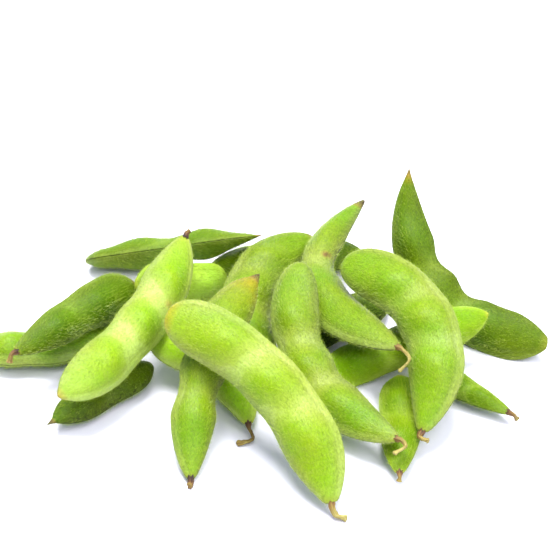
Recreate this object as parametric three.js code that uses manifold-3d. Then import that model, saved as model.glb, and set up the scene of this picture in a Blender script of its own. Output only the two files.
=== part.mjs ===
// A loose heap of fresh edamame: green soybean pods, each grown as one piece, some with the dried
// calyx and a bit of the stalk that it hung from. The pods lie on a table and on each other.
// Millimetres, +Z up. The origin is on the table under the middle of the heap, -Y is its front.

import * as THREE from 'three';
import { mergeVertices } from 'three/addons/utils/BufferGeometryUtils.js';
import Module from 'manifold-3d';

const wasm = await Module();
wasm.setup();

// ---- The mesh of a pod and of a stalk
const POD_SIDES = 12;
const POD_STATIONS = 26;
const STALK_SIDES = 8;
const STALK_STATIONS = 12;

// ---- The shape that all pods share
const NECK_WIDTH = 0.16;      // width at the neck, as a share of the pod's own width
const NECK_SHAPE = 0.75;      // below 1 the neck end is rounder, above 1 more drawn out
const SEEDS_FROM = 0.13;      // the row of seeds starts and ends at these shares of the length,
const SEEDS_TO = 0.87;        // unless the pod's own row says otherwise
const SEED_REACH = 0.36;      // a seed's bulge, as a share of the distance between two seeds
const WALL_THICK = 0.56;      // thickness between two seeds, as a share of that over a seed
const SEAM_RIDGE = 0.35;      // how far the two seams stand out
const JOIN_GAP = 0.5;         // clear space between a pod and its dried calyx
const CALYX_RADIUS = 0.85;
const CALYX_LENGTH = 1.6;
const STALK_RADIUS = 0.4;
const TABLE_SIZE = 400;

// ---- Where the middle of the heap lies in the coordinates of the list below
const HEAP_MIDDLE = [-4.2, 10.6];

// ---- The pods, from the table up. neck is the stalk end and tip the beak end of the middle line.
// bow is how far the neck half and the tip half of that line curve out, and roll the turn about
// the straight line from neck to tip: at 0 the curve rises, at 90 the pod lies on its side.
// waist is how much narrower the pod is between its seeds. neckTaper and tipTaper are the shares
// of the length that taper to the two ends, and tipShape says how pointed the beak is, from 0.4,
// round, to 1, sharp. stalk lists the points that the stalk runs through.
const PODS = [
  { name: 'low_left', neck: [-35.5, 25.5, 4.1], tip: [-74.5, 16.5, 4.1], bow: [-6.5, -5], roll: 88,
    width: 11, thick: 8.5, seeds: 3, waist: 0.08, tone: 'light',
    neckTaper: 0.25, tipTaper: 0.25, tipShape: 0.8 },
  { name: 'low_front_left', neck: [-29.5, 9, 4.1], tip: [-51.5, -11, 3.8], bow: [0, 0], roll: 80,
    width: 9, thick: 8.5, seeds: 2, waist: 0.08, tone: 'deep',
    neckTaper: 0.25, tipTaper: 0.35, tipShape: 0.8 },
  { name: 'low_middle', neck: [-6.2, -9.5, 1.9], tip: [-30, 12, 8.5], bow: [6, 6], roll: 80,
    width: 11, thick: 8.5, seeds: 3, waist: 0.08, tone: 'light',
    neckTaper: 0.45, tipTaper: 0.25, tipShape: 0.5,
    stalk: [[-5.2, -13.8, 1], [-9, -15, 0.6]] },
  { name: 'low_behind', neck: [3, 16, 3.1], tip: [28, 35, 3.1], bow: [1, 1], roll: -80,
    width: 10.5, thick: 7, seeds: 2, waist: 0.08, tone: 'deep',
    neckTaper: 0.25, tipTaper: 0.25, tipShape: 0.6 },
  { name: 'low_right', neck: [54.5, -7, 3.1], tip: [37, 7.5, 3.2], bow: [0, 0], roll: 80,
    width: 8.5, thick: 7, seeds: 2, waist: 0.08, tone: 'deep',
    neckTaper: 1.2, tipTaper: 0.2, tipShape: 0.5,
    stalk: [[56.5, -7.5, 1.4]] },
  { name: 'low_front_right', neck: [28, -27.5, 3.4], tip: [29.5, 5, 3.6], bow: [-0.1, 0.9], roll: 85,
    width: 10, thick: 7.5, seeds: 2, waist: 0.08, tone: 'deep',
    neckTaper: 0.6, tipTaper: 0.25, tipShape: 0.5,
    stalk: [[27.8, -29.6, 2.6]] },
  { name: 'back_low', neck: [22.5, 53, 3.8], tip: [-17, 47, 3.8], bow: [1, 1], roll: 82,
    width: 10.5, thick: 8, seeds: 3, waist: 0.08, tone: 'deep',
    neckTaper: 0.2, tipTaper: 0.3, tipShape: 0.8 },
  { name: 'cross_right', neck: [10.5, 7, 1.6], tip: [51, 18.5, 12], bow: [0, 0], roll: -60,
    width: 10, thick: 8.5, seeds: 3, waist: 0.08, tone: 'deep',
    neckTaper: 0.2, tipTaper: 0.3, tipShape: 0.6 },
  { name: 'left_dark', neck: [-60.5, 2.5, 13.5], tip: [-34.5, 29.5, 12], bow: [0, 1], roll: -50,
    width: 10.5, thick: 8.5, seeds: 2, waist: 0.15, tone: 'deep',
    neckTaper: 0.65, tipTaper: 0.2, tipShape: 0.5,
    stalk: [[-62, 0.5, 11.8]] },
  { name: 'left_behind', neck: [-34, 27, 14.3], tip: [-12, 41, 3.4], bow: [0, 0], roll: -28,
    width: 10, thick: 8, seeds: 2, waist: 0.08, tone: 'deep',
    neckTaper: 0.2, tipTaper: 0.2, tipShape: 0.5 },
  { name: 'back_left', neck: [-48.5, 51, 3], tip: [-4, 48.5, 13], bow: [-1, -2], roll: 50,
    width: 11, thick: 8, seeds: 2, waist: 0.08, tone: 'deep',
    neckTaper: 0.12, tipTaper: 0.35, tipShape: 0.8 },
  { name: 'back_middle', neck: [-3, 5.5, 1.6], tip: [9.5, 52.5, 9.2], bow: [8.5, 12], roll: -75,
    width: 12.5, thick: 8.5, seeds: 3, waist: 0.08, tone: 'light',
    neckTaper: 0.2, tipTaper: 0.35, tipShape: 0.48 },
  { name: 'right_tall', neck: [66, 16, 4.8], tip: [33.5, 55, 28], bow: [-13, -13.5], roll: 48,
    width: 11.5, thick: 8.5, seeds: 3, waist: 0.35, tone: 'deep',
    neckTaper: 0.15, tipTaper: 0.42, tipShape: 0.8 },
  { name: 'left_long', neck: [-22, 37, 21], tip: [-49, -12.5, 13.2], bow: [-4.5, -4.5], roll: 56,
    width: 11.5, thick: 9, seeds: 3, waist: 0.12, tone: 'light',
    neckTaper: 0.3, tipTaper: 0.25, tipShape: 0.6,
    stalk: [[-20.9, 39, 21.8]] },
  { name: 'front_curved', neck: [-19, -27, 1.2], tip: [-4.5, 20.5, 21.5], bow: [4.5, 5.5], roll: -74,
    width: 10.5, thick: 8.5, seeds: 3, waist: 0.3, tone: 'light',
    neckTaper: 0.35, tipTaper: 0.25, tipShape: 0.7,
    stalk: [[-19.3, -29.2, 1]] },
  { name: 'back_right', neck: [28.5, 1, 16.2], tip: [22, 61, 14], bow: [-12, -18], roll: 74,
    width: 11, thick: 8, seeds: 2, seedsFrom: 0.3, seedsTo: 1, waist: 0.36, tone: 'light',
    neckTaper: 0.3, tipTaper: 0.42, tipShape: 0.5,
    stalk: [[31, -3, 16], [28.5, -4.5, 13.4]] },
  { name: 'centre', neck: [27.5, -21.5, 8.2], tip: [6, 30, 18.6], bow: [-10, -10], roll: 65,
    width: 11.5, thick: 9, seeds: 3, waist: 0.2, tone: 'light',
    neckTaper: 0.36, tipTaper: 0.2, tipShape: 0.45,
    stalk: [[29.2, -23.6, 7.8], [26.5, -25.4, 7.2]] },
  { name: 'right_broad', neck: [33.5, -17, 6.3], tip: [16.5, 30, 18.8], bow: [12, 12], roll: 66,
    width: 13, thick: 9, seeds: 3, waist: 0.06, tone: 'light',
    neckTaper: 0.3, tipTaper: 0.18, tipShape: 0.42,
    stalk: [[34.9, -19.3, 5.4]] },
  { name: 'front_long', neck: [12.5, -37, 3.2], tip: [-25, 3.3, 24.2], bow: [8, 7.5], roll: 58,
    width: 13, thick: 9, seeds: 3, waist: 0.06, tone: 'light',
    neckTaper: 0.25, tipTaper: 0.18, tipShape: 0.42,
    stalk: [[13.8, -38.8, 1.2], [16, -39.4, 0.9]] },
];

function seedPitch(pod) {
  return ((pod.seedsTo ?? SEEDS_TO) - (pod.seedsFrom ?? SEEDS_FROM)) / pod.seeds;
}

function seedCentre(pod, i) {
  return (pod.seedsFrom ?? SEEDS_FROM) + (i + 0.5) * seedPitch(pod);
}

function seedBulge(pod, t) {
  const reach = SEED_REACH * seedPitch(pod);
  let bulge = 0;
  for (let i = 0; i < pod.seeds; i += 1) {
    bulge += Math.exp(-(((t - seedCentre(pod, i)) / reach) ** 2));
  }
  return Math.min(bulge, 1);
}

// The waists lie between the seeds only, so the two ends keep their full width.
function waistShare(pod, t) {
  const between = THREE.MathUtils.clamp(t, seedCentre(pod, 0), seedCentre(pod, pod.seeds - 1));
  return 1 - pod.waist * (1 - seedBulge(pod, between));
}

function taper(pod, t) {
  const fromNeck = Math.min(t / pod.neckTaper, 1);
  const swell = NECK_WIDTH + (1 - NECK_WIDTH) * Math.sin((Math.PI / 2) * fromNeck) ** NECK_SHAPE;
  const toTip = Math.max(0, (t - 1 + pod.tipTaper) / pod.tipTaper);
  return swell * (1 - toTip ** 2) ** pod.tipShape;
}

// The middle line of a pod in its own frame: the neck at the origin, the tip along +X.
function podSpine(pod) {
  const chord = new THREE.Vector3(...pod.neck).distanceTo(new THREE.Vector3(...pod.tip));
  return new THREE.CubicBezierCurve3(
    new THREE.Vector3(0, 0, 0),
    new THREE.Vector3(chord / 3, 0, (4 / 3) * pod.bow[0]),
    new THREE.Vector3((2 * chord) / 3, 0, (4 / 3) * pod.bow[1]),
    new THREE.Vector3(chord, 0, 0),
  );
}

// A closed body drawn out along a curve from a ball whose poles become the two ends. across is the
// flat way through the body, and section gives a point of the outline across the curve, from the
// share of the length and the ball's own outline.
function drawnOut(curve, across, sides, stations, section) {
  const ball = new THREE.SphereGeometry(1, sides, stations);
  ball.rotateZ(-Math.PI / 2);
  const position = ball.getAttribute('position');
  for (let i = 0; i < position.count; i += 1) {
    const turn = Math.acos(THREE.MathUtils.clamp(-position.getX(i), -1, 1));
    const t = (turn / Math.PI + (1 - Math.cos(turn)) / 2) / 2;
    const radius = Math.hypot(position.getY(i), position.getZ(i)) || 1;
    const [flat, wide] = section(t, position.getY(i) / radius, position.getZ(i) / radius);
    const tangent = curve.getTangent(t);
    const outward = tangent.clone().cross(across).normalize();
    const point = curve.getPoint(t);
    point.addScaledVector(outward, wide);
    point.addScaledVector(outward.cross(tangent), flat);
    position.setXYZ(i, point.x, point.y, point.z);
  }
  ball.deleteAttribute('normal');
  ball.deleteAttribute('uv');
  return mergeVertices(ball, 1e-4);
}

function podGeometry(pod) {
  const section = (t, flatShare, wideShare) => {
    const size = taper(pod, t);
    const bulge = seedBulge(pod, t);
    const wide = (pod.width / 2) * size * waistShare(pod, t);
    const thick = (pod.thick / 2) * size * (WALL_THICK + (1 - WALL_THICK) * bulge);
    const seam = SEAM_RIDGE * Math.min(size, 1) * wideShare ** 9;
    return [thick * flatShare, wide * wideShare + seam];
  };
  return drawnOut(podSpine(pod), new THREE.Vector3(0, 1, 0), POD_SIDES, POD_STATIONS, section);
}

// Puts a group's origin at the neck, its X along the line to the tip, and rolls it about that line.
function layDown(group, pod) {
  const neck = new THREE.Vector3(...pod.neck);
  const along = new THREE.Vector3(...pod.tip).sub(neck).normalize();
  const level = new THREE.Vector3(0, 0, 1).cross(along).normalize();
  const rising = along.clone().cross(level);
  group.quaternion.setFromRotationMatrix(new THREE.Matrix4().makeBasis(along, level, rising));
  group.rotateX(THREE.MathUtils.degToRad(pod.roll));
  group.position.copy(neck);
  group.updateMatrixWorld(true);
}

// The dried calyx, a small cup at the neck, and the thin stalk that it narrows to.
function stalkGeometry(pod, neckDirection) {
  const neck = new THREE.Vector3(...pod.neck);
  const curve = new THREE.CatmullRomCurve3([
    neck.clone().addScaledVector(neckDirection, JOIN_GAP),
    neck.clone().addScaledVector(neckDirection, JOIN_GAP + CALYX_LENGTH / 2),
    ...pod.stalk.map((point) => new THREE.Vector3(...point)),
  ]);
  const calyxShare = Math.min(CALYX_LENGTH / curve.getLength(), 0.75);
  const section = (t, flatShare, wideShare) => {
    const beyond = Math.min(t / calyxShare, 1);
    const radius = CALYX_RADIUS + (STALK_RADIUS - CALYX_RADIUS) * beyond ** 1.5;
    return [radius * flatShare, radius * wideShare];
  };
  const across = neckDirection.clone().cross(new THREE.Vector3(0, 0, 1)).normalize();
  return drawnOut(curve, across, STALK_SIDES, STALK_STATIONS, section);
}

function toSolid(geometry) {
  return new wasm.Manifold(new wasm.Mesh({
    numProp: 3,
    vertProperties: geometry.getAttribute('position').array,
    triVerts: new Uint32Array(geometry.index.array),
  }));
}

function toGeometry(solid) {
  const mesh = solid.getMesh();
  const geometry = new THREE.BufferGeometry();
  geometry.setAttribute('position', new THREE.BufferAttribute(mesh.vertProperties, 3));
  geometry.setIndex(new THREE.BufferAttribute(mesh.triVerts, 1));
  return geometry;
}

// What lies on the table is pressed flat where it touches.
const table = new THREE.BoxGeometry(TABLE_SIZE, TABLE_SIZE, TABLE_SIZE);
table.translate(0, 0, -TABLE_SIZE / 2);
table.deleteAttribute('normal');
table.deleteAttribute('uv');
const tableSolid = toSolid(mergeVertices(table));

function pressedOnTable(geometry, matrixWorld) {
  geometry.applyMatrix4(matrixWorld);
  geometry.computeBoundingBox();
  if (geometry.boundingBox.min.z > 0) {
    return geometry.applyMatrix4(matrixWorld.clone().invert());
  }
  const pressed = toGeometry(toSolid(geometry).subtract(tableSolid));
  return pressed.applyMatrix4(matrixWorld.clone().invert());
}

const tones = {
  light: new THREE.MeshStandardMaterial({ color: 0x93bf3a, roughness: 0.5, metalness: 0 }),
  deep: new THREE.MeshStandardMaterial({ color: 0x5f8f2a, roughness: 0.55, metalness: 0 }),
};
const dryStalk = new THREE.MeshStandardMaterial({ color: 0xb98a3c, roughness: 0.8, metalness: 0 });
const heap = new THREE.Group();

for (const pod of PODS) {
  const group = new THREE.Group();
  layDown(group, pod);
  const body = new THREE.Mesh(
    pressedOnTable(podGeometry(pod), group.matrixWorld),
    tones[pod.tone],
  );
  body.name = `pod_${pod.name}`;
  group.add(body);
  heap.add(group);
  if (pod.stalk) {
    const outOfNeck = podSpine(pod).getTangent(0).negate().transformDirection(group.matrixWorld);
    const stalk = new THREE.Mesh(
      pressedOnTable(stalkGeometry(pod, outOfNeck), heap.matrixWorld),
      dryStalk,
    );
    stalk.name = `stalk_${pod.name}`;
    heap.add(stalk);
  }
}

heap.position.set(-HEAP_MIDDLE[0], -HEAP_MIDDLE[1], 0);

export default heap;
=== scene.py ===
# %% [markdown]
# # A loose heap of edamame
# Nineteen green soybean pods lie on a table and on each other. The solids of the frame give every
# pod and stalk its place, length and curve. This script gives them what the eye sees: the swells
# over the seeds, the two seams, the fine down, the dried calyxes, the skin and the light.

# %% The fixed frame
import math

import bpy
import numpy as np
from mathutils import Matrix, Vector


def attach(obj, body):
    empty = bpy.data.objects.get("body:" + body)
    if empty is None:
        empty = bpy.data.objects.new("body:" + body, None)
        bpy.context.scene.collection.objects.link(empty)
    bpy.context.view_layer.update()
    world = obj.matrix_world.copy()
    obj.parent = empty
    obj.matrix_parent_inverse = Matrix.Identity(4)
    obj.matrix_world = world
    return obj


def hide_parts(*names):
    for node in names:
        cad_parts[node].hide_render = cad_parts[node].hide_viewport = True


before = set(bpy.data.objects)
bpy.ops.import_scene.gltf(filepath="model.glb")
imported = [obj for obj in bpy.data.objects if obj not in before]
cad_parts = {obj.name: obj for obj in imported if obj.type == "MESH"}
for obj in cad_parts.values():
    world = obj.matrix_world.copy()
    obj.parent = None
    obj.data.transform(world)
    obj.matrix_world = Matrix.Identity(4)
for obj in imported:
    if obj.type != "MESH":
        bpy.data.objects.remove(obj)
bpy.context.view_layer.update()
print("solids in the frame:", len(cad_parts))

# %% [markdown]
# ## Units
# Blender works in metres, and a pod is measured in millimetres, so one constant turns one into the
# other. The rows below have an origin of their own, and one shift brings the middle of the heap to
# the middle of the frame. Every random draw starts from one number, so the heap comes out the same
# each time.

# %% Units
MM = 0.001
TINY = 1e-9                 # is added to a divisor that may be zero
SEED = 4711
HEAP_SHIFT = (4.2, -10.6, 0.0)
print("the rows are moved by", HEAP_SHIFT, "mm")

# %% [markdown]
# ## The pods, one by one
# No two pods are alike, so each has a row of its own. Lengths are in millimetres, turns in degrees.
# - neck and tip are the two ends. bow is how far the pod bends near its neck and near its tip, and
#   roll turns it about its own length.
# - seeds, seeds_from and seeds_to place the seeds. waist is how far the edge draws in between them.
# - neck_taper and tip_taper are the shares of the length that narrow, and tip_shape is how pointed.
# - tone picks the skin, shade makes a pod lighter or darker than its neighbours, partly for its own
#   tone and partly as painted light and shade where the heap lights it more or less, beak is
#   the length of the beak, and ripe is the share of the length that has turned yellow.
#
# The rows run from the table up, as the heap was laid.

# %% The rows
SEEDS_FROM = 0.13           # the row of seeds starts and ends at these shares of the length,
SEEDS_TO = 0.87             # unless the pod's own row says otherwise
COLUMNS = ("name", "neck", "tip", "bow", "roll", "width", "thick", "seeds",
           "seeds_from", "seeds_to", "waist", "neck_taper", "tip_taper", "tip_shape", "tone",
           "shade", "beak", "ripe")
# The shade column is partly painted light and shade: pods that lie in the heap's shadow are painted
# darker, and some that the lamps leave too dark are painted lighter.
ROWS = [
    ("low_left", (-35.5, 25.5, 4.1), (-74.5, 16.5, 4.1), (-6.5, -5), 88,
     11, 8.5, 3, SEEDS_FROM, SEEDS_TO, 0.08, 0.25, 0.25, 0.8, "light",
     -0.1, 1.2, 0.1),
    ("low_front_left", (-29.5, 9, 4.1), (-51.5, -11, 3.8), (0, 0), 80,
     9, 8.5, 2, SEEDS_FROM, SEEDS_TO, 0.08, 0.25, 0.35, 0.8, "deep",
     -1.4, 1.6, 0),
    ("low_middle", (-6.2, -9.5, 1.9), (-30, 12, 8.5), (6, 6), 80,
     11, 8.5, 3, SEEDS_FROM, SEEDS_TO, 0.08, 0.45, 0.25, 0.5, "light",
     1.8, 0.3, 0),
    ("low_behind", (3, 16, 3.1), (28, 35, 3.1), (1, 1), -80,
     10.5, 7, 2, SEEDS_FROM, SEEDS_TO, 0.08, 0.25, 0.25, 0.6, "deep",
     -1.8, 0.8, 0),
    ("low_right", (54.5, -7, 3.1), (37, 7.5, 3.2), (0, 0), 80,
     8.5, 7, 2, SEEDS_FROM, SEEDS_TO, 0.08, 1.2, 0.2, 0.5, "deep",
     0.2, 0.3, 0),
    ("low_front_right", (28, -27.5, 3.4), (29.5, 5, 3.6), (-0.1, 0.9), 85,
     10, 7.5, 2, SEEDS_FROM, SEEDS_TO, 0.08, 0.6, 0.25, 0.5, "deep",
     0.8, 0.6, 0),
    ("back_low", (22.5, 53, 3.8), (-17, 47, 3.8), (1, 1), 82,
     10.5, 8, 3, SEEDS_FROM, SEEDS_TO, 0.08, 0.2, 0.3, 0.8, "deep",
     0.0, 1.2, 0),
    ("cross_right", (10.5, 7, 1.6), (51, 18.5, 12), (0, 0), -60,
     10, 8.5, 3, SEEDS_FROM, SEEDS_TO, 0.08, 0.2, 0.3, 0.6, "deep",
     2.9, 0.3, 0),
    ("left_dark", (-60.5, 2.5, 13.5), (-34.5, 29.5, 12), (0, 1), -50,
     10.5, 8.5, 2, SEEDS_FROM, SEEDS_TO, 0.15, 0.65, 0.2, 0.5, "deep",
     -0.8, 0.6, 0),
    ("left_behind", (-34, 27, 14.3), (-12, 41, 3.4), (0, 0), -28,
     10, 8, 2, SEEDS_FROM, SEEDS_TO, 0.08, 0.2, 0.2, 0.5, "deep",
     2.6, 0.4, 0),
    ("back_left", (-48.5, 51, 3), (-4, 48.5, 13), (-1, -2), 50,
     11, 8, 2, SEEDS_FROM, SEEDS_TO, 0.08, 0.12, 0.35, 0.8, "deep",
     0.3, 0.9, 0),
    ("back_middle", (-3, 5.5, 1.6), (9.5, 52.5, 9.2), (8.5, 12), -75,
     12.5, 8.5, 3, SEEDS_FROM, SEEDS_TO, 0.08, 0.2, 0.35, 0.48, "light",
     -1.0, 0.5, 0),
    ("right_tall", (66, 16, 4.8), (33.5, 55, 28), (-13, -13.5), 48,
     11.5, 8.5, 3, SEEDS_FROM, SEEDS_TO, 0.35, 0.15, 0.42, 0.8, "deep",
     -0.6, 1.0, 0.05),
    ("left_long", (-22, 37, 21), (-49, -12.5, 13.2), (-4.5, -4.5), 56,
     11.5, 9, 3, SEEDS_FROM, SEEDS_TO, 0.12, 0.3, 0.25, 0.6, "light",
     0.6, 0.6, 0),
    ("front_curved", (-19, -27, 1.2), (-4.5, 20.5, 21.5), (4.5, 5.5), -74,
     10.5, 8.5, 3, SEEDS_FROM, SEEDS_TO, 0.3, 0.35, 0.25, 0.7, "light",
     -0.7, 1.4, 0.2),
    ("back_right", (28.5, 1, 16.2), (22, 61, 14), (-12, -18), 74,
     11, 8, 2, 0.3, 1, 0.36, 0.3, 0.42, 0.5, "light",
     -0.9, 1.6, 0),
    ("centre", (27.5, -21.5, 8.2), (6, 30, 18.6), (-10, -10), 65,
     11.5, 9, 3, SEEDS_FROM, SEEDS_TO, 0.2, 0.36, 0.2, 0.45, "light",
     -0.7, 0.2, 0),
    ("right_broad", (33.5, -17, 6.3), (16.5, 30, 18.8), (12, 12), 66,
     13, 9, 3, SEEDS_FROM, SEEDS_TO, 0.06, 0.3, 0.18, 0.42, "light",
     -0.4, 0.1, 0),
    ("front_long", (12.5, -37, 3.2), (-25, 3.3, 24.2), (8, 7.5), 58,
     13, 9, 3, SEEDS_FROM, SEEDS_TO, 0.06, 0.25, 0.18, 0.42, "light",
     0.2, 0.1, 0.05),
]
PODS = [dict(zip(COLUMNS, row)) for row in ROWS]
print("pods in the heap:", len(PODS))

# %% [markdown]
# ## Small helpers
# An operator acts on all that is selected, so everything is deselected before a primitive is added.
# A new primitive becomes the active object, and its mesh can be read and written as one array. That
# is far quicker than moving thousands of points one by one.

# %% Helpers for meshes


def deselect_all():
    bpy.ops.object.select_all(action="DESELECT")


def read_points(obj):
    points = np.empty(len(obj.data.vertices) * 3, np.float32)
    obj.data.vertices.foreach_get("co", points)
    return points.reshape(-1, 3).astype(float)


def write_points(obj, points):
    obj.data.vertices.foreach_set("co", points.astype(np.float32).ravel())
    obj.data.update()


def store(obj, name, values):
    """Keeps one number or one vector for each vertex, for the materials to read."""
    is_vector = values.ndim == 2
    kind = "FLOAT_VECTOR" if is_vector else "FLOAT"
    attribute = obj.data.attributes.new(name, kind, "POINT")
    field = "vector" if is_vector else "value"
    attribute.data.foreach_set(field, values.astype(np.float32).ravel())


print("selected when the frame has loaded:", len(bpy.context.selected_objects))

# %% [markdown]
# ## The middle line of a pod
# A pod curves in one plane, like a drawn bow. It could be bent by a curve modifier, but then its
# solid and its skin would follow two different curves. So the same cubic as in the solids is used.
# In the pod's own frame the neck is at the origin, the beak lies along X, and the curve rises
# along Z. `lay_down` then puts it where it lies in the heap.

# %% Line and place


def length_between(pod):
    return float(np.linalg.norm(np.subtract(pod["tip"], pod["neck"])))


def spine(pod, t):
    """Points and unit tangents of the middle line at the shares t of its length."""
    chord = length_between(pod)
    bow = (1 - t) * pod["bow"][0] + t * pod["bow"][1]
    rise = 4 * t * (1 - t) * bow
    slope = 4 * ((1 - 2 * t) * bow + t * (1 - t) * (pod["bow"][1] - pod["bow"][0]))
    zero = np.zeros_like(t)
    points = np.stack([chord * t, zero, rise], axis=1)
    tangents = np.stack([chord + zero, zero, slope], axis=1)
    return points, tangents / np.linalg.norm(tangents, axis=1, keepdims=True)


def turned(pod):
    """The rotation from a pod's own frame to the heap."""
    along = (Vector(pod["tip"]) - Vector(pod["neck"])).normalized()
    level = Vector((0, 0, 1)).cross(along).normalized()
    rising = along.cross(level)
    basis = Matrix((along, level, rising)).transposed()
    return np.array(basis @ Matrix.Rotation(math.radians(pod["roll"]), 3, "X"))


def lay_down(pod, points):
    return points @ turned(pod).T + np.array(pod["neck"]) + np.array(HEAP_SHIFT)


lengths = [length_between(pod) for pod in PODS]
print("from neck to beak, mm:", round(min(lengths)), "to", round(max(lengths)))

# %% [markdown]
# ## The outline of a pod
# The width swells from a narrow neck, stays almost even over the seeds, and tapers to the beak. A
# sine gives the soft shoulder at the neck, and a power of a parabola gives a tip that can be blunt
# or drawn out, as both are found in one heap.

# %% Taper
NECK_WIDTH = 0.16           # width at the neck, as a share of the pod's own width
NECK_SHAPE = 0.75           # below 1 the neck end is rounder, above 1 more drawn out


def taper(pod, t):
    """The size of the pod at the shares t of its length, as a share of its full size."""
    from_neck = np.minimum(t / pod["neck_taper"], 1)
    swell = NECK_WIDTH + (1 - NECK_WIDTH) * np.sin(math.pi / 2 * from_neck) ** NECK_SHAPE
    to_tip = np.maximum(0, (t - 1 + pod["tip_taper"]) / pod["tip_taper"])
    return swell * (1 - to_tip ** 2) ** pod["tip_shape"]


tenths = np.linspace(0, 1, 11)
print("size along the first pod:", taper(PODS[0], tenths).round(2))

# %% [markdown]
# ## The seeds inside
# The seeds are never seen, but they shape the pod: the walls swell over each of them and fall in
# between. A bell curve around each seed gives the swell. What is left of it between two seeds is
# the waist, where the edge may draw in as well.

# %% Swells and waists
SEED_REACH = 0.36           # a seed's swell, as a share of the distance between two seeds


def seed_centres(pod):
    """The shares of the length where the seeds lie, and the distance between two of them."""
    pitch = (pod["seeds_to"] - pod["seeds_from"]) / pod["seeds"]
    return [pod["seeds_from"] + (i + 0.5) * pitch for i in range(pod["seeds"])], pitch


def seed_swell(pod, t):
    centres, pitch = seed_centres(pod)
    total = sum(np.exp(-(((t - centre) / (SEED_REACH * pitch)) ** 2)) for centre in centres)
    return np.minimum(total, 1)


def waist(pod, t):
    """0 over the seeds and at the two ends of the pod, and most midway between two seeds."""
    centres, _ = seed_centres(pod)
    return 1 - seed_swell(pod, np.clip(t, centres[0], centres[-1]))


print("seeds in the heap:", sum(pod["seeds"] for pod in PODS))
print("swell along the first pod:", seed_swell(PODS[0], tenths).round(2))

# %% [markdown]
# ## A ball to begin with
# A pod could be extruded ring by ring, but a ball already has closed ends and even rings. So a
# sphere primitive is added, its two poles become neck and beak, and each of its points is moved.
# Its rings are spread so that the round ends get enough of them, and more of its points are drawn
# to the seams, where the finest forms are.

# %% The ball
POD_SIDES = 64
POD_RINGS = 132
SEAM_CROWDING = 0.62        # 0 spreads the points evenly, 1 leaves no room between them at the seams


def add_ball(name, sides, rings):
    deselect_all()
    bpy.ops.mesh.primitive_uv_sphere_add(segments=sides, ring_count=rings, radius=1)
    ball = bpy.context.object
    ball.name = name
    ball.data.name = name
    return ball


def ball_shares(points):
    """Along the ball from 0 to 1, and the direction of each point around its axis."""
    turn = np.arccos(np.clip(-points[:, 2], -1, 1))
    t = (turn / math.pi + (1 - np.cos(turn)) / 2) / 2
    around = np.arctan2(points[:, 1], points[:, 0])
    return t, around


def crowd_to_seams(around):
    """The seams are a quarter turn either way, where the sine is 1 and -1."""
    return around + SEAM_CROWDING * 0.5 * np.sin(2 * around)


print("rings along a pod:", POD_RINGS, "and points around it:", POD_SIDES)

# %% [markdown]
# ## The walls
# Cut across, a pod is a flat lens of two walls. Over each seed a wall is pushed out into an oval
# mound, and near the seams it stays flat. The mounds lean a little, as the seeds hang on short
# stalks from one seam. On the outside of the bend the two walls lie on each other as a flat rim,
# and a crease runs where the swollen wall meets it. Sculpting would give the same forms, but a
# formula gives them to all pods at once and keeps every pod closed.

# %% Mounds, rim and crease
SEED_SLANT = 0.035          # how far a mound leans along the pod from one seam to the other
MOUND_WIDTH = 0.85          # reach of a mound across the pod, as a share of half the width
WALL_THICK = 0.56           # thickness between two seeds, as a share of that over a seed
RIM_WIDTH = 1.3             # millimetres, as are the next two
CREASE_DEPTH = 0.22
CREASE_REACH = 0.4


def walls(pod, t, around):
    """Half the width, and how far each point is from the flat middle and from the outer edge."""
    flat_share, wide_share = np.cos(around), np.sin(around)
    size = taper(pod, t)
    wide = pod["width"] / 2 * size * (1 - pod["waist"] * waist(pod, t))
    slanted = seed_swell(pod, t + SEED_SLANT * wide_share)
    mound = slanted * np.exp(-((wide_share / MOUND_WIDTH) ** 2))
    flat = pod["thick"] / 2 * size * flat_share * (WALL_THICK + (1 - WALL_THICK) * mound)
    outside = math.copysign(1, pod["bow"][0])
    from_edge = wide * (1 - outside * wide_share)
    crease = size * CREASE_DEPTH * np.exp(-(((from_edge - RIM_WIDTH) / CREASE_REACH) ** 2))
    flat -= np.sign(flat) * np.minimum(crease, np.abs(flat))
    return wide, flat, from_edge


between = [WALL_THICK * pod["thick"] for pod in PODS]
print("thick between two seeds, mm:", round(min(between), 1), "to", round(max(between), 1))

# %% [markdown]
# ## The seams
# A ripe pod splits along two seams. On a green one they show as a low ridge with a hair-fine groove
# on top of it. Both are less than half a millimetre, but they catch the light along the whole pod,
# so they are in the mesh and not only in the colour. They fade out towards the two ends.

# %% Ridge and groove
RIDGE_HEIGHT = 0.32         # millimetres, as are the next three
RIDGE_REACH = 0.55
GROOVE_DEPTH = 0.2
GROOVE_REACH = 0.13
SEAM_FADE = 1.4             # the ridge has its full height where the pod is wider than 1 / 1.4
SEAM_EDGE = 4               # how close to the edge it stays on the narrow parts


def seam_height(pod, t, wide_share, flat):
    strength = np.minimum(taper(pod, t) * SEAM_FADE, 1) * np.abs(wide_share) ** SEAM_EDGE
    ridge = RIDGE_HEIGHT * np.exp(-((flat / RIDGE_REACH) ** 2))
    groove = GROOVE_DEPTH * np.exp(-((flat / GROOVE_REACH) ** 2))
    return np.sign(wide_share) * strength * (ridge - groove)


print("the groove ends", round(RIDGE_HEIGHT - GROOVE_DEPTH, 2), "mm above the wall")

# %% [markdown]
# ## The bend, the beak and the table
# The section is carried along the middle line, square to it. The last part of the pod is drawn out
# into the beak, the dry remnant of the flower's style. What would reach into the table is pressed
# flat on it, as the pod's own weight does.

# %% From the section to the heap
BEAK_FROM = 0.972           # the beak takes the pod's last part
PRESSED_AT = 0.02           # height of the flat spots over the table, in millimetres


def beak_share(t):
    return np.clip((t - BEAK_FROM) / (1 - BEAK_FROM), 0, 1) ** 2


def above_table(points):
    points[:, 2] = np.maximum(points[:, 2], PRESSED_AT)
    return points


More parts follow.
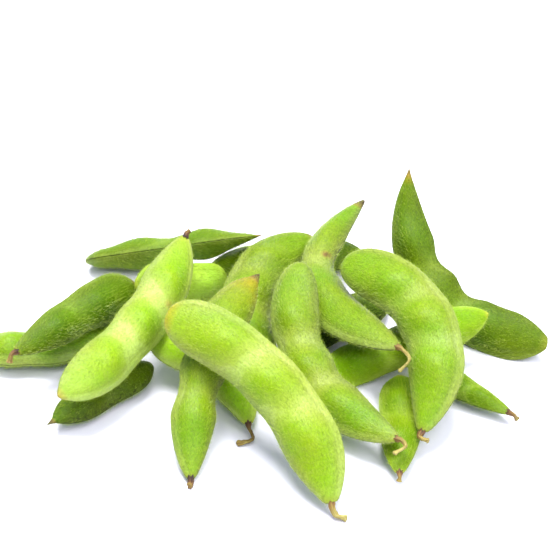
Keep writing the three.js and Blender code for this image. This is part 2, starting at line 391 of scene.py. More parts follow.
def pod_points(pod, t, across, flat):
    points, tangents = spine(pod, t)
    outward = np.stack([-tangents[:, 2], np.zeros_like(t), tangents[:, 0]], axis=1)
    points = points + outward * across[:, None]
    points[:, 1] += flat
    points += tangents * (pod["beak"] * beak_share(t))[:, None]
    return above_table(lay_down(pod, points))


print("longest beak, mm:", max(pod["beak"] for pod in PODS))

# %% [markdown]
# ## What the skin has to know
# The green is strong over the seeds and pale at the waists and on the rim, and only the shape knows
# where these are. A colour could be painted on by hand, but nineteen times over. Instead each point
# keeps a few numbers as attributes, and one material reads them on every pod. One of them holds
# painted shade: each pod's own step lighter or darker, and a darker band painted along its sides.

# %% Numbers for the greens
PALER_ENDS = 0.45           # how much of the strong green is lost at the two ends
ENDS_SHAPE = 1.5            # above 1, most of that is lost at the very end
SEED_COLOUR_REACH = 0.9     # how far across the pod the strong green over a seed reaches
SEED_COLOUR_EDGE = 4        # a higher number gives it a firmer edge
SEAM_COLOUR_REACH = 1.6     # millimetres
RIM_BLUR = 0.14             # millimetres
SIDE_SHADE = 1.7            # painted shade: how much darker the sides of a pod are painted
SIDE_SHAPE = 3              # a higher number keeps that shade closer to the seams
RIM_SPARED = 0.5            # how much of that shade the rim is spared
# Pods with more, or less, of the strong green than their neighbours.
GREENER = {"left_long": -0.15, "left_behind": -0.9, "front_curved": 0.3, "right_broad": 0.2,
           "back_middle": 0.3, "low_left": 0.4}


def store_greens(pod, ball, t, wide_share, flat, from_edge):
    centres, _ = seed_centres(pod)
    ends = np.clip(1 - t / centres[0], 0, 1) + np.clip((t - centres[-1]) / (1 - centres[-1]), 0, 1)
    strong = 1 + GREENER.get(pod["name"], 0) - PALER_ENDS * ends ** ENDS_SHAPE
    strong -= waist(pod, t + SEED_SLANT * wide_share)
    rim = (1 - np.tanh((from_edge - RIM_WIDTH) / (2 * RIM_BLUR))) / 2
    # painted shade: darker towards the seams, where the sides turn away from the light
    side_shade = SIDE_SHADE * np.abs(wide_share) ** SIDE_SHAPE * (1 - RIM_SPARED * rim)
    across = np.exp(-((wide_share / SEED_COLOUR_REACH) ** SEED_COLOUR_EDGE))
    store(ball, "seed", strong * across)
    store(ball, "seam", np.abs(wide_share) * np.exp(-((flat / SEAM_COLOUR_REACH) ** 2)))
    store(ball, "rim", rim)
    # painted light and shade: the pod's own step, less the painted shade on its sides
    store(ball, "shade", pod["shade"] - side_shade)


print("pods with a green of their own:", len(GREENER))

# %% [markdown]
# ## Age and wear
# A pod dries from its beak and ripens from there too, and two have a small brown scar where another
# pod has rubbed them. Each point keeps these as shares as well. A last attribute holds its place as
# if the pod were straight, so that patterns follow the bend and don't slide.

# %% Numbers for the age
LONG_BEAK = 1.6             # a beak as long as this has dried right through, in millimetres
PATTERN_STEP = 90.0         # millimetres from the patterns of one pod to those of the next
# Small dry scars: where along the pod, where across it, and how dark.
SCARS = {"back_right": (0.685, 0.65, 0.55), "left_long": (0.36, -0.5, 0.3)}
SCAR_REACH = (0.018, 0.25)


def store_age(pod, ball, t, wide_share):
    dry = np.sqrt(beak_share(t)) * min(pod["beak"] / LONG_BEAK, 1)
    if pod["name"] in SCARS:
        along_at, across_at, dark = SCARS[pod["name"]]
        along_off = (t - along_at) / SCAR_REACH[0]
        across_off = (wide_share - across_at) / SCAR_REACH[1]
        dry += dark * np.exp(-(along_off ** 2) - across_off ** 2)
    store(ball, "along", t)
    store(ball, "dry", dry)
    store(ball, "ripe", np.clip((t - 1) / (pod["ripe"] + TINY) + 1, 0, 1))


def store_straight(pod, ball, t, across, flat):
    along = length_between(pod) * t + PATTERN_STEP * PODS.index(pod)
    store(ball, "straight", np.stack([along, across, flat], axis=1) * MM)


print("pods with a scar:", list(SCARS))

# %% [markdown]
# ## All nineteen pods
# The pods could be sculpted one by one, but one recipe with a row for each makes them alike in kind
# and different in shape. A pod replaces its solid and rides on the one body of the heap. Its skin,
# after its tone, is given further down.

# %% The pods
pods = {}
for pod in PODS:
    piece = add_ball("skin_" + pod["name"], POD_SIDES, POD_RINGS)
    t, around = ball_shares(read_points(piece))
    around = crowd_to_seams(around)
    wide_share = np.sin(around)
    wide, flat, from_edge = walls(pod, t, around)
    across = wide * wide_share + seam_height(pod, t, wide_share, flat)
    write_points(piece, pod_points(pod, t, across, flat) * MM)
    store_greens(pod, piece, t, wide_share, flat, from_edge)
    store_age(pod, piece, t, wide_share)
    store_straight(pod, piece, t, across, flat)
    bpy.ops.object.shade_smooth()
    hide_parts("pod_" + pod["name"])
    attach(piece, "root")
    pods[pod["name"]] = piece
print("pods:", len(pods), "faces each:", len(piece.data.polygons))

# %% [markdown]
# ## Stalks and dried calyxes
# Some pods still carry the dried calyx, a small cup of five pointed sepals that clasps the neck,
# and the bit of stalk that it sat on. A curve with a bevel would make the stalk but not the cup. So
# again a ball is drawn out along a line, and its first rings turn back over the neck as the cup.
#
# Each row holds how yellow the stalk is, how thick, and the corners that it runs through after it
# has left the neck, in millimetres.

# %% Where the stalks run
STALKS = {
    "low_middle": (-0.15, 1.2, [(-5.2, -13.8, 1), (-9, -15, 0.6)]),
    "low_right": (-0.1, 1.2, [(56.5, -7.5, 1.4)]),
    "low_front_right": (-0.1, 1.2, [(27.8, -29.6, 2.6)]),
    "left_dark": (-0.2, 1.4, [(-62, 0.5, 11.8)]),
    "left_long": (-0.3, 1.3, [(-20.9, 39, 21.8)]),
    "front_curved": (-0.3, 1.4, [(-19.3, -29.2, 1)]),
    "back_right": (0.12, 0.9, [(31, -3, 16), (28.5, -4.5, 13.4)]),
    "centre": (0.08, 1.1, [(29.2, -23.6, 7.8), (26.5, -25.4, 7.2)]),
    "right_broad": (-0.05, 1.4, [(34.9, -19.3, 5.4)]),
    "front_long": (0.1, 1.6, [(13.8, -38.8, 1.2), (16, -39.4, 0.9)]),
}
print("stalks:", len(STALKS), "with at most", max(len(row[2]) for row in STALKS.values()), "bends")

# %% [markdown]
# ## A line through the corners
# A few corners are easy to place, but a stalk bends smoothly. A curve object would round them too,
# but it does not tell which way it runs at each point, and the ball's rings need that. So a cubic
# is laid between each two corners.

# %% Smooth lines
FIRST_OUT = 0.1             # a stalk's line starts this far out of the neck, in millimetres,
STRAIGHT_OUT = 1.4          # and runs straight on to here


def smooth_line(corners, t):
    """Points on a smooth line through the corners, their unit tangents, and the line's length."""
    corners = np.array(corners, float)
    ends = [2 * corners[0] - corners[1], *corners, 2 * corners[-1] - corners[-2]]
    ends = np.array(ends)
    steps = np.linalg.norm(np.diff(corners, axis=0), axis=1)
    knots = np.concatenate([[0], np.cumsum(steps)]) / steps.sum()
    slopes = (ends[2:] - ends[:-2]) / 2
    i = np.clip(np.searchsorted(knots, t, side="right") - 1, 0, len(steps) - 1)
    u = ((t - knots[i]) / (knots[i + 1] - knots[i]))[:, None]
    p, q, dp, dq = corners[i], corners[i + 1], slopes[i], slopes[i + 1]
    points = ((2 * u ** 3 - 3 * u ** 2 + 1) * p + (u ** 3 - 2 * u ** 2 + u) * dp
              + (3 * u ** 2 - 2 * u ** 3) * q + (u ** 3 - u ** 2) * dq)
    tangents = ((6 * u ** 2 - 6 * u) * (p - q) + (3 * u ** 2 - 4 * u + 1) * dp
                + (3 * u ** 2 - 2 * u) * dq)
    return points, tangents / np.linalg.norm(tangents, axis=1, keepdims=True), steps.sum()


def stalk_line(pod, t):
    """The middle line of the stalk, its length, and the way out of the neck."""
    _, tangents = spine(pod, np.zeros(1))
    out_of_neck = -(tangents @ turned(pod).T)[0]
    neck = np.array(pod["neck"])
    bends = STALKS[pod["name"]][2]
    corners = [neck + FIRST_OUT * out_of_neck, neck + STRAIGHT_OUT * out_of_neck, *bends]
    return *smooth_line(corners, t), out_of_neck


stalk_lengths = [stalk_line(pod, tenths)[2] for pod in PODS if pod["name"] in STALKS]
print("stalks, mm:", round(min(stalk_lengths)), "to", round(max(stalk_lengths)))

# %% [markdown]
# ## How thick a stalk is
# Calyx and stalk have shrunk as they dried, so they are ribbed and flattened, and both ribs and
# flat sides wind around. The end that broke off is a little swollen and then closes.

# %% Girth and ribs
CALYX_RADIUS = 0.8          # millimetres, as are the next two
CALYX_LENGTH = 1.6
STALK_RADIUS = 0.36
CALYX_CURVE = 0.8           # below 1 the calyx narrows at once, above 1 only towards its end
SEPALS = 5
RIB_DEPTH = 0.1
RIB_TWIST = 2.5             # radians over the length of the stalk, as is the next
FLAT_TWIST = 4
STALK_FLATNESS = 0.22
KNOB_SWELL = 0.3
KNOB_AT = 0.93
KNOB_REACH = 0.08
END_CLOSES = 0.05           # the share of the length in which the broken end closes


def stalk_radius(girth, t, around, beyond, phase):
    radius = CALYX_RADIUS + (girth * STALK_RADIUS - CALYX_RADIUS) * beyond ** CALYX_CURVE
    ribs = 1 + RIB_DEPTH * np.cos(SEPALS * around + RIB_TWIST * t + phase)
    flattened = 1 + STALK_FLATNESS * beyond * np.cos(2 * around + FLAT_TWIST * t + phase)
    knob = 1 + KNOB_SWELL * np.exp(-(((t - KNOB_AT) / KNOB_REACH) ** 2))
    end = np.sqrt(np.clip((1 - t) / END_CLOSES, 0, 1))
    return radius * ribs * flattened * knob * end


thinnest = min(girth for _, girth, _ in STALKS.values())
print("thinnest stalk, mm:", round(2 * STALK_RADIUS * thinnest, 2))

# %% [markdown]
# ## The cup and the points of a stalk
# The sepals point back over the neck, five lobes around it. Two more attributes go with the mesh:
# how yellow the straw is, and where a point lies in the bundle of fibres.

# %% Cup, points and fibres
CUP_SHARE = 0.14            # this share of the ball's rings turns back over the neck
SEPAL_LENGTH = 0.7          # millimetres
CUP_BACK = 0.7              # the cup turns back by this share of a sepal's length,
LOBE_BACK = 0.4             # and its five points by this much more
PHASES = 6                  # the ribs start anywhere in this many radians
STRAW_START = -0.35         # darkest brown, at the calyx
STRAW_GAIN = 0.3            # yellower by this much over the calyx, and again over the stalk
STRAND_STRETCH = 0.25       # a quarter, so the fibres come out four times as long as wide


def shape_stalk(pod, ball, rng):
    straw, girth, _ = STALKS[pod["name"]]
    share, around = ball_shares(read_points(ball))
    cup = np.clip(share / CUP_SHARE, 0, 1)
    t = np.clip((share - CUP_SHARE) / (1 - CUP_SHARE), 0, 1)
    points, tangents, length, out_of_neck = stalk_line(pod, t)
    outward = np.cross(tangents, np.cross(out_of_neck, (0, 0, 1)))
    outward /= np.linalg.norm(outward, axis=1, keepdims=True)
    sideways = np.cross(outward, tangents)
    beyond = np.minimum(t * length / CALYX_LENGTH, 1)
    phase = rng.uniform(0, PHASES)
    radius = stalk_radius(girth, t, around, beyond, phase) * np.sqrt(cup)
    lobe = np.cos(SEPALS * around + phase)
    back = SEPAL_LENGTH * (CUP_BACK + LOBE_BACK * lobe) * cup ** 2 * (1 - beyond) ** 3
    points = points - tangents * back[:, None]
    points = points + outward * (radius * np.sin(around))[:, None]
    points = points + sideways * (radius * np.cos(around))[:, None]
    write_points(ball, above_table(points + HEAP_SHIFT) * MM)
    store(ball, "straw", STRAW_START + STRAW_GAIN * (beyond + t) + straw)
    strand = [np.cos(around), np.sin(around), share * length * STRAND_STRETCH]
    store(ball, "strand", np.stack(strand, axis=1) * MM)


print("longest sepal, mm:", round(SEPAL_LENGTH * (CUP_BACK + LOBE_BACK), 2))

# %% [markdown]
# ## All the stalks
# Dry fibre is never smooth. A displace modifier with a cloud texture crumples each stalk a little,
# and it is applied, so that the crumples are part of the mesh.

# %% The stalks
STALK_SIDES = 30
STALK_RINGS = 56
WRINKLE_SIZE = 0.7          # millimetres, as is the next
WRINKLE_DEPTH = 0.35

stalks = {}
rng = np.random.default_rng(SEED)
wrinkles = bpy.data.textures.new("dry_wrinkles", "CLOUDS")
wrinkles.noise_scale = WRINKLE_SIZE * MM
for pod in PODS:
    if pod["name"] not in STALKS:
        continue
    piece = add_ball("calyx_" + pod["name"], STALK_SIDES, STALK_RINGS)
    shape_stalk(pod, piece, rng)
    wrinkle = piece.modifiers.new("wrinkles", "DISPLACE")
    wrinkle.texture = wrinkles
    wrinkle.texture_coords = "LOCAL"
    wrinkle.strength = WRINKLE_DEPTH * MM
    bpy.ops.object.modifier_apply(modifier=wrinkle.name)
    bpy.ops.object.shade_smooth()
    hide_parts("stalk_" + pod["name"])
    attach(piece, "root")
    stalks[pod["name"]] = piece
print("calyxes with their stalks:", len(stalks))

# %% [markdown]
# ## One hair
# A soybean pod is covered with short silvery hairs that lean towards the beak. They blur its edge
# and sparkle on the swells. A particle system would be quick, but its hairs are no mesh. So one
# hair is modelled as a three-sided cone, and its few faces are copied on to the skin.

# %% One hair


def one_hair():
    """The points and faces of a hair of length 1 and radius 1 that stands on the origin."""
    deselect_all()
    bpy.ops.mesh.primitive_cone_add(vertices=3, radius1=1, radius2=0, depth=1, location=(0, 0, 0.5))
    hair = bpy.context.object
    bpy.ops.object.transform_apply(location=True)
    points = read_points(hair)
    faces = [tuple(face.vertices) for face in hair.data.polygons]
    bpy.data.objects.remove(hair)
    return points, faces


hair_points, hair_faces = one_hair()
print("faces of a hair:", len(hair_faces))

# %% [markdown]
# ## Where hairs can grow
# A hair needs a face to stand on, the way out of the skin, and the way to the beak. They are drawn
# by area, so that a large face gets more hairs than a small one and the down is even.

# %% Faces of the skin


def sorted_faces(obj):
    """The numbers of the faces in the order of their corners, as a primitive's own order varies."""
    faces = obj.data.polygons
    return sorted(range(len(faces)), key=lambda number: sorted(faces[number].vertices))


def face_table(obj, order):
    """Middle, normal and area of each face."""
    count = len(obj.data.polygons)
    columns = {}
    for field, width in (("center", 3), ("normal", 3), ("area", 1)):
        values = np.empty(count * width, np.float32)
        obj.data.polygons.foreach_get(field, values)
        columns[field] = values.reshape(count, width)[order].astype(float)
    return columns["center"], columns["normal"], columns["area"][:, 0]


def along_of(obj):
    """The share along the pod in the middle of each face."""
    values = np.empty(len(obj.data.vertices), np.float32)
    obj.data.attributes["along"].data.foreach_get("value", values)
    return np.array([values[list(face.vertices)].mean() for face in obj.data.polygons])


front = pods["front_long"]
front_area = face_table(front, sorted_faces(front))[2].sum()
print("skin of the longest pod, mm2:", round(front_area / MM ** 2))

# %% [markdown]
# ## Feet for the hairs
# A foot is drawn at random on each chosen face. The faces are about as large as the space between
# two hairs, so no pattern shows. Three ways go with a foot: out of the skin, along it to the beak,
# and to the side.

# %% Feet
HAIRS_PER_MM2 = 6


def hair_feet(pod, skin, rng):
    order = sorted_faces(skin)
    middle, normal, area = face_table(skin, order)
    count = round(area.sum() / MM ** 2) * HAIRS_PER_MM2
    chosen = rng.choice(len(area), size=count, p=area / area.sum())
    _, tangents = spine(pod, along_of(skin)[order][chosen])
    forward = tangents @ turned(pod).T
    up = normal[chosen]
    side = np.cross(up, forward)
    side /= np.linalg.norm(side, axis=1, keepdims=True) + TINY
    forward = np.cross(side, up)
    spread = np.sqrt(area[chosen])[:, None] / 2
    feet = middle[chosen] + spread * (rng.uniform(-1, 1, (count, 1)) * side
                                      + rng.uniform(-1, 1, (count, 1)) * forward)
    return feet, up, forward, side


print("the longest pod has room for", round(front_area / MM ** 2) * HAIRS_PER_MM2, "hairs")

# %% [markdown]
# ## From feet to hairs
# Each hair leans to the beak, strays to the side and has a length of its own, all at random. Real
# hairs are finer and closer together. These are as coarse as they need to be to show. None reaches
# into the table.

# %% Hairs at random
HAIR_LENGTH = 0.95          # millimetres, as is the next
HAIR_RADIUS = 0.02
HAIR_LENGTHS = (0.55, 1.25)  # the shortest and the longest, as shares of that length
HAIR_LEAN = (0.7, 1.4)      # how far along the skin a hair leans for each 1 that it stands up
HAIR_STRAY = 0.45           # how far to the side it strays
HAIR_CLEARANCE = 0.1        # millimetres that every hair keeps from the table


def grow_hairs(feet, up, forward, side, hair_points, rng):
    """The points of all hairs, one hair after the other, and how many hairs there are."""
    one_each = (len(feet), 1)
    lean = rng.uniform(*HAIR_LEAN, one_each)
    stray = rng.normal(0, HAIR_STRAY, one_each)
    axis = up + lean * forward + stray * side
    axis /= np.linalg.norm(axis, axis=1, keepdims=True)
    length = HAIR_LENGTH * MM * rng.uniform(*HAIR_LENGTHS, one_each)
    keep = (feet + axis * length)[:, 2] > HAIR_CLEARANCE * MM
    feet, axis, length, side = feet[keep], axis[keep], length[keep], side[keep]
    third = np.cross(axis, side)
    width = HAIR_RADIUS * MM
    placed = (feet[:, None] + hair_points[:, :1] * side[:, None] * width
              + hair_points[:, 1:2] * third[:, None] * width
              + hair_points[:, 2:] * (axis * length)[:, None])
    return placed.reshape(-1, 3), len(feet)


print("a hair is", 2 * HAIR_RADIUS, "mm thick and", HAIR_LENGTH, "mm long")

# %% [markdown]
# ## The down of the whole heap
# The faces of the one hair are repeated with the numbers of the new points, so that all hairs of a
# pod become one mesh. Each pod draws from a start of its own.

# %% The down


def mesh_of_copies(name, points, faces, copies, points_each):
    everyone = [tuple(v + i * points_each for v in face) for i in range(copies) for face in faces]
    mesh = bpy.data.meshes.new(name)
    mesh.from_pydata(points.tolist(), [], everyone)
    obj = bpy.data.objects.new(name, mesh)
    bpy.context.scene.collection.objects.link(obj)
    return obj


hairs = {}
for number, pod in enumerate(PODS):
    rng = np.random.default_rng([SEED, number])
    places = hair_feet(pod, pods[pod["name"]], rng)
    placed, copies = grow_hairs(*places, hair_points, rng)
    piece = mesh_of_copies("down_" + pod["name"], placed, hair_faces, copies, len(hair_points))
    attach(piece, "root")
    hairs[pod["name"]] = piece
print("hairs:", sum(len(piece.data.vertices) for piece in hairs.values()) // len(hair_points))

# %% [markdown]
# ## Colours and nodes
# Colours are written as the hex values that a painter would pick, and one function turns them to
# the linear light that the shaders work in. One function adds a node with its settings and links.
# A Mix node uses the same names for its numbers and its colours, so its sockets for colours are
# taken by their place.

# %% Helpers for materials
SHARE, BELOW, ABOVE, MIXED = 0, 6, 7, 2  # a Mix node's sockets for colours


def colour(text):
    """An sRGB hex value as linear red, green, blue and alpha."""
    parts = [int(text[i:i + 2], 16) / 255 for i in (1, 3, 5)]
    linear = [p / 12.92 if p <= 0.04045 else ((p + 0.055) / 1.055) ** 2.4 for p in parts]
    return (*linear, 1.0)


def set_inputs(tree, node, inputs):
    """Gives each input its value, or links it to a socket, or to the first socket of a node."""
    for key, value in inputs.items():
        if isinstance(value, bpy.types.Node):
            value = value.outputs[0]
        if isinstance(value, bpy.types.NodeSocket):
            tree.links.new(value, node.inputs[key])
        else:
            node.inputs[key].default_value = value


def add_node(tree, kind, inputs=(), stops=(), **settings):
    made = tree.nodes.new("ShaderNode" + kind)
    for key, value in settings.items():
        setattr(made, key, value)
    set_inputs(tree, made, dict(inputs))
    for i, (place, shade) in enumerate(stops):
        elements = made.color_ramp.elements
        element = elements[i] if i < 2 else elements.new(place)
        element.position = place
        element.color = shade
    return made


def new_material(name):
    material = bpy.data.materials.new(name)
    material.use_nodes = True
    tree = material.node_tree
    return material, tree, tree.nodes["Principled BSDF"]


print("half grey in linear light:", round(colour("#808080")[0], 3))

# %% [markdown]
# ## The skin of a pod
# Fresh pod skin is thin, waxy and full of water, so it is a little translucent, satin rather than
# glossy, and its down gives it a pale bloom at grazing angles. It could be one painted picture, but
# then each pod would need its own. Instead its colour is laid down in layers, and each of the next
# functions lays one layer over the colour below it. It reads own, the numbers that each point of the
# pod keeps, and straight, the point's place as if the pod were straight.
#
# The first layer is the greens. They are strongest over the seeds, where the wall is stretched, and
# palest at the waists. Blotches of 5 mm shift the border between them.

# %% Layer 1: the greens
BLOTCH = 5                  # millimetres
BLOTCH_SHIFT = 0.6


def lay_greens(tree, own, straight, over_seed, wall, margin):
    """The greens, and the blotches for others to follow."""
    blotch = add_node(tree, "TexNoise",
                      {"Vector": straight, "Scale": 1 / (BLOTCH * MM), "Detail": 3.0})
    shifted = add_node(tree, "Math", {0: blotch, 1: BLOTCH_SHIFT, 2: -BLOTCH_SHIFT / 2},
                       operation="MULTIPLY_ADD")
    amount = add_node(tree, "Math", {0: own["seed"], 1: shifted}, operation="ADD", use_clamp=True)
    greens = add_node(tree, "ValToRGB", {"Fac": amount},
                      stops=[(0.2, colour(margin)), (0.36, colour(wall)), (0.8, colour(over_seed))])
    return greens, blotch


print("blotches are", BLOTCH, "mm wide")

# %% [markdown]
# ## Rim and seams
# On the rim two thick walls lie on each other, so it is paler. A darker line is painted where it
# begins, as painted shade in the crease there, and a fine dark line lies in the groove of each seam.

# %% Layer 2: rim and seams
RIM_PALENESS = 0.28


def lay_rim_and_seams(tree, own, below, margin, seam_line):
    rim_share = add_node(tree, "Math", {0: own["rim"], 1: RIM_PALENESS}, operation="MULTIPLY")
    rimmed = add_node(tree, "Mix", {SHARE: rim_share, BELOW: below, ABOVE: colour(margin)},
                      data_type="RGBA")
    # painted shade: a darker line in the crease where the rim begins
    border = add_node(tree, "ValToRGB", {"Fac": own["rim"]},
                      stops=[(0.1, (0, 0, 0, 1)), (0.5, (0.25, 0.25, 0.25, 1)), (0.9, (0, 0, 0, 1))])
    edged = add_node(tree, "Mix",
                     {SHARE: border, BELOW: rimmed.outputs[MIXED], ABOVE: colour(seam_line)},
                     data_type="RGBA")
    line = add_node(tree, "ValToRGB", {"Fac": own["seam"]},
                    stops=[(0.985, (0, 0, 0, 1)), (0.998, (1, 1, 1, 1))])
    lined = add_node(tree, "Mix",
                     {SHARE: line, BELOW: edged.outputs[MIXED], ABOVE: colour(seam_line)},
                     data_type="RGBA")
    return lined.outputs[MIXED]


print("paler on the rim by", RIM_PALENESS)

# %% [markdown]
# ## Veins
# Faint veins run slantwise from one seam to the other, about 1.4 mm apart. The edges of long cells
# of a Voronoi pattern look just like them.

# %% Layer 3: veins
VEIN_SPACING = 1.4          # millimetres
VEIN_SLANT = math.radians(32)
VEIN_SQUEEZE = 0.32         # the cells are about three times as long as they are wide


def lay_veins(tree, straight, below, vein):
    """The colour with the veins, and the veins by themselves for the relief."""
    slant = add_node(tree, "Mapping",
                     {"Vector": straight, "Rotation": (0, 0, VEIN_SLANT),
                      "Scale": (1, VEIN_SQUEEZE, VEIN_SQUEEZE)})
    cells = add_node(tree, "TexVoronoi", {"Vector": slant, "Scale": 1 / (VEIN_SPACING * MM)},
                     feature="DISTANCE_TO_EDGE")
    veins = add_node(tree, "ValToRGB", {"Fac": cells},
                     stops=[(0.0, (0.18, 0.18, 0.18, 1)), (0.22, (0, 0, 0, 1))])
    veined = add_node(tree, "Mix", {SHARE: veins, BELOW: below, ABOVE: colour(vein)},
                      data_type="RGBA")
    return veined.outputs[MIXED], veins


print("degrees between a vein and a seam:", round(90 - math.degrees(VEIN_SLANT)))

# %% [markdown]
# ## Ripening and drying
# Some pods have begun to ripen from the beak and are yellow there, in blotches. The beak dries
# first: its green fades to straw and then to a greyish brown, and a scar dries in the same way. At
# the neck the skin is only a little yellow.

# %% Layer 4: ripe and dry parts


def lay_age(tree, own, blotch, below):
    ripe_share = add_node(tree, "Math", {0: own["ripe"], 1: blotch}, operation="MULTIPLY",
                          use_clamp=True)
    ripened = add_node(tree, "Mix", {SHARE: ripe_share, BELOW: below, ABOVE: colour("#DDAA1E")},
                       data_type="RGBA")
    dry_share = add_node(tree, "MapRange", {"Value": own["dry"], "From Min": 0.05, "From Max": 0.4})
    dry_tone = add_node(tree, "ValToRGB", {"Fac": own["dry"]},
                        stops=[(0.2, colour("#B8A040")), (0.7, colour("#6E5A38"))])
    dried = add_node(tree, "Mix", {SHARE: dry_share, BELOW: ripened.outputs[MIXED], ABOVE: dry_tone},
                     data_type="RGBA")
    neck = add_node(tree, "MapRange",
                    {"Value": own["along"], "From Min": 0.03, "From Max": 0.0, "To Max": 0.7})
    yellowed = add_node(tree, "Mix",
                        {SHARE: neck, BELOW: dried.outputs[MIXED], ABOVE: colour("#A9B23A")},
                        data_type="RGBA")
    return yellowed.outputs[MIXED]


print("pods that have begun to ripen:", sum(pod["ripe"] > 0 for pod in PODS))

# %% [markdown]
# ## Grain and shade
# Fine mottling of half a millimetre stands for the feet of the hairs, and streaks a millimetre long
# run with them. Together they are the grain. It makes the colour lighter and darker, on top of the
# pod's shade, which is partly its own tone and partly painted light and shade, and patches of 14 mm
# turn it a little yellower or greener.

# %% Layer 5: grain and shade
MOTTLE = 0.5                # millimetres, as are the next two
STREAK = 1.0
PATCH = 14
STREAK_TURN = 0.4           # radians
STREAK_SQUEEZE = 6          # a streak is six times as long as it is wide
SHADE_STEP = 0.17           # how much brighter one step of shade, painted light and tone, makes a pod


def skin_grain(tree, straight):
    mottle = add_node(tree, "TexNoise",
                      {"Vector": straight, "Scale": 1 / (MOTTLE * MM), "Detail": 2.0})
    combed = add_node(tree, "Mapping",
                      {"Vector": straight, "Rotation": (0, 0, STREAK_TURN),
                       "Scale": (1, STREAK_SQUEEZE, STREAK_SQUEEZE)})
    streaks = add_node(tree, "TexNoise",
                       {"Vector": combed, "Scale": 1 / (STREAK * MM), "Detail": 2.0})
    return add_node(tree, "Math", {0: mottle, 1: streaks}, operation="ADD")


def lay_shade(tree, own, straight, grain, below):
    tone = add_node(tree, "MapRange",
                    {"Value": grain, "From Min": 0.7, "From Max": 1.3,
                     "To Min": 0.55, "To Max": 0.83})
    # painted light and shade: each pod's shade attribute brightens or darkens the colour
    brightness = add_node(tree, "Math", {0: own["shade"], 1: SHADE_STEP, 2: tone},
                          operation="MULTIPLY_ADD")
    patches = add_node(tree, "TexNoise", {"Vector": straight, "Scale": 1 / (PATCH * MM)})
    hue = add_node(tree, "MapRange",
                   {"Value": patches, "From Min": 0.35, "From Max": 0.65,
                    "To Min": 0.483, "To Max": 0.507})
    return add_node(tree, "HueSaturation", {"Color": below, "Hue": hue, "Value": brightness})


print("sizes in the grain, mm:", MOTTLE, STREAK, PATCH)

# %% [markdown]
# ## The surface
# Veins and grain also stand out a tenth of a millimetre, which a bump gives. The wax is uneven, so
# the roughness follows the blotches. Light goes about a millimetre into the wet wall and comes out
# greener, so a little of it is scattered below the surface, and a weak sheen is the bloom.

# %% The whole skin
RELIEF_DEPTH = 0.14         # millimetres
VEIN_RELIEF = 0.6           # height of a vein, where the grain is 1
LIGHT_DEPTH = 1.2           # millimetres


def pod_skin(name, shine, over_seed, wall, margin, seam_line, vein):
    material, tree, shader = new_material(name)
    straight = add_node(tree, "Attribute", attribute_name="straight").outputs["Vector"]
    own = {number: add_node(tree, "Attribute", attribute_name=number).outputs["Fac"]
           for number in ("seed", "rim", "seam", "ripe", "dry", "along", "shade")}
    grain = skin_grain(tree, straight)
    skin, blotch = lay_greens(tree, own, straight, over_seed, wall, margin)
    skin = lay_rim_and_seams(tree, own, skin, margin, seam_line)
    skin, veins = lay_veins(tree, straight, skin, vein)
    skin = lay_age(tree, own, blotch, skin)
    skin = lay_shade(tree, own, straight, grain, skin)
    relief = add_node(tree, "Math", {0: veins, 1: VEIN_RELIEF, 2: grain}, operation="MULTIPLY_ADD")
    bump = add_node(tree, "Bump", {"Height": relief, "Strength": 0.7, "Distance": RELIEF_DEPTH * MM})
    gloss = add_node(tree, "MapRange", {"Value": blotch, "To Min": 0.32, "To Max": 0.5})
    set_inputs(tree, shader, {
        "Base Color": skin, "Normal": bump, "Roughness": gloss,
        "IOR": 1.42, "Specular IOR Level": shine,
        "Subsurface Weight": 0.2, "Subsurface Radius": (0.9, 1.0, 0.25),
        "Subsurface Scale": LIGHT_DEPTH * MM,
        "Sheen Weight": 0.08, "Sheen Roughness": 0.4, "Sheen Tint": colour("#C8E070")})
    return material


print("light goes", LIGHT_DEPTH, "mm into the wall")

# %% [markdown]
# ## Two skins
# The young pods are yellow-green, and their thin wax gives a soft shine. The riper ones are a
# deeper green with a duller shine. Both come from the one recipe.

# %% Young and ripe skin
skins = {
    "light": pod_skin("young_pod_skin", shine=0.3, over_seed="#88B600", wall="#A2C23E",
                      margin="#B8D262", seam_line="#6C8016", vein="#A6C040"),
    "deep": pod_skin("ripe_pod_skin", shine=0.16, over_seed="#658A00", wall="#72960A",
                     margin="#90B034", seam_line="#44580A", vein="#7A9E14"),
}
for pod in PODS:
    pods[pod["name"]].data.materials.append(skins[pod["tone"]])
print("pod skins:", [skin.name for skin in skins.values()])

# %% [markdown]
# ## Down
# A hair is a clear, hollow thread. Every hair in the heap takes the same pale green, which drifts a
# little from patch to patch, and its smooth surface glints.

# %% Silvery down
DOWN_PATCH = 1.5            # millimetres


def down_material():
    material, tree, shader = new_material("silvery_down")
    place = add_node(tree, "TexCoord")
    noise = add_node(tree, "TexNoise",
                     {"Vector": place.outputs["Object"], "Scale": 1 / (DOWN_PATCH * MM)})
    shade = add_node(tree, "ValToRGB", {"Fac": noise},
                     stops=[(0.35, colour("#7F9D19")), (0.65, colour("#B4C64A"))])
    set_inputs(tree, shader, {"Base Color": shade, "Roughness": 0.35, "IOR": 1.5})
    return material


down = down_material()
for piece in hairs.values():
    piece.data.materials.append(down)
print("pieces with", down.name + ":", len(hairs))

# %% [markdown]
# ## Dried stalk
# Stalk and calyx are dead fibre that has lost its water: matt, ribbed and straw brown, darkest at
# the calyx, where most of the sap dried, and yellower where the stalk broke off. The fibres run
# lengthwise, so their noise is drawn out along the stalk.

# %% Dried stalk fibre
FIBRE = 0.4                 # millimetres, coarser than real fibres so that they show
FIBRE_DEPTH = 0.2
FIBRE_CONTRAST = 1.2


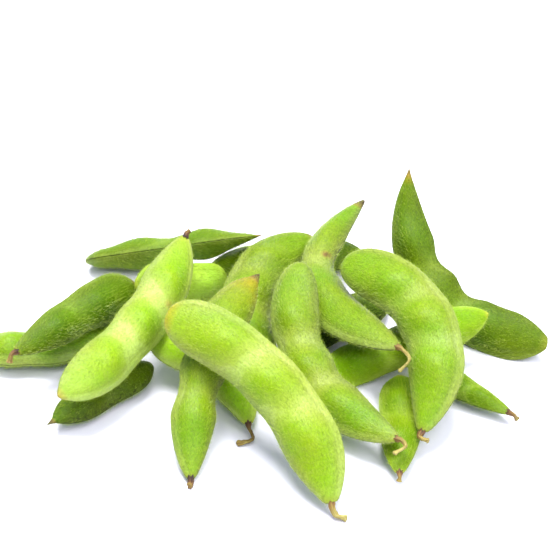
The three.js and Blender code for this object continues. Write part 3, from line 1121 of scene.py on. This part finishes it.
def stalk_material():
    material, tree, shader = new_material("dried_stalk_fibre")
    straw = add_node(tree, "Attribute", attribute_name="straw")
    strand = add_node(tree, "Attribute", attribute_name="strand")
    fibre = add_node(tree, "TexNoise",
                     {"Vector": strand.outputs["Vector"], "Scale": 1 / (FIBRE * MM), "Detail": 3.0})
    shifted = add_node(tree, "Math", {0: fibre, 1: FIBRE_CONTRAST, 2: straw.outputs["Fac"]},
                       operation="MULTIPLY_ADD")
    shade = add_node(tree, "ValToRGB", {"Fac": shifted},
                     stops=[(0.05, colour("#2E1B0C")), (0.35, colour("#65431F")),
                            (0.65, colour("#86702E")), (0.95, colour("#A89E54"))])
    bump = add_node(tree, "Bump", {"Height": fibre, "Strength": 0.8, "Distance": FIBRE_DEPTH * MM})
    set_inputs(tree, shader, {"Base Color": shade, "Normal": bump, "Roughness": 0.7})
    return material


fibre_brown = stalk_material()
for piece in stalks.values():
    piece.data.materials.append(fibre_brown)
print("pieces with", fibre_brown.name + ":", len(stalks))

# %% [markdown]
# ## The table
# Food is often shown on a white lacquered table, which gives soft shadows and a faint reflection.
# One large plane does, as its edge is never seen.

# %% Table
deselect_all()
bpy.ops.mesh.primitive_plane_add(size=6, location=(0, 0, 0))
table = bpy.context.object
table.name = "table"
white, tree, shader = new_material("white_lacquered_table")
set_inputs(tree, shader, {"Base Color": colour("#EFEDF8"), "Roughness": 0.4})
table.data.materials.append(white)
print("the table is", round(table.dimensions.x), "m wide")

# %% [markdown]
# ## Light
# A bright, cool room lights the heap from all round. One large soft lamp hangs overhead and a
# little behind, and a weaker, wider one in front opens the shadows. Both are far lamps, so that
# the whole table is lit alike. A sun lamp with a wide angle is the simplest of these.

# %% Light
world = bpy.data.worlds.new("bright_room")
bpy.context.scene.world = world
world.use_nodes = True
background = world.node_tree.nodes["Background"]
set_inputs(world.node_tree, background, {"Color": colour("#E2E6FF"), "Strength": 0.8})


def add_soft_light(name, comes_from, spread, strength):
    """spread is how wide the lamp looks from the table, in degrees."""
    deselect_all()
    turn = Vector(comes_from).to_track_quat("Z", "Y").to_euler()
    bpy.ops.object.light_add(type="SUN", rotation=turn)
    lamp = bpy.context.object
    lamp.name = name
    lamp.data.angle = math.radians(spread)
    lamp.data.energy = strength


add_soft_light("overhead_softbox", comes_from=(-0.1, 0.25, 0.96), spread=34, strength=5.3)
add_soft_light("front_softbox", comes_from=(0.4, -0.4, 0.82), spread=45, strength=2.5)
bpy.context.scene.view_settings.view_transform = "Standard"

# %% [markdown]
# ## Camera
# The eye is at sitting height, half a metre away, and looks down at the heap. The lens is long for
# that distance, so the pods in front look no larger than those behind. The camera aims behind the
# heap, which leaves more of the table free above it than below.

# %% Camera
LOOK_AT = Vector((4.2, 38.4, 0)) * MM
CAMERA_HEIGHT_ANGLE = math.radians(38)
CAMERA_DISTANCE = 500 * MM
LENS = 127.6                # millimetres, as is the next
SENSOR = 36

camera_data = bpy.data.cameras.new("camera")
camera = bpy.data.objects.new("camera", camera_data)
bpy.context.scene.collection.objects.link(camera)
back = Vector((0, -math.cos(CAMERA_HEIGHT_ANGLE), math.sin(CAMERA_HEIGHT_ANGLE)))
camera.location = LOOK_AT + back * CAMERA_DISTANCE
camera.rotation_euler = (math.pi / 2 - CAMERA_HEIGHT_ANGLE, 0, 0)
camera_data.lens = LENS
camera_data.sensor_width = SENSOR
camera_data.clip_start = 0.01
bpy.context.scene.camera = camera
print("camera at", [round(v / MM) for v in camera.location], "mm")
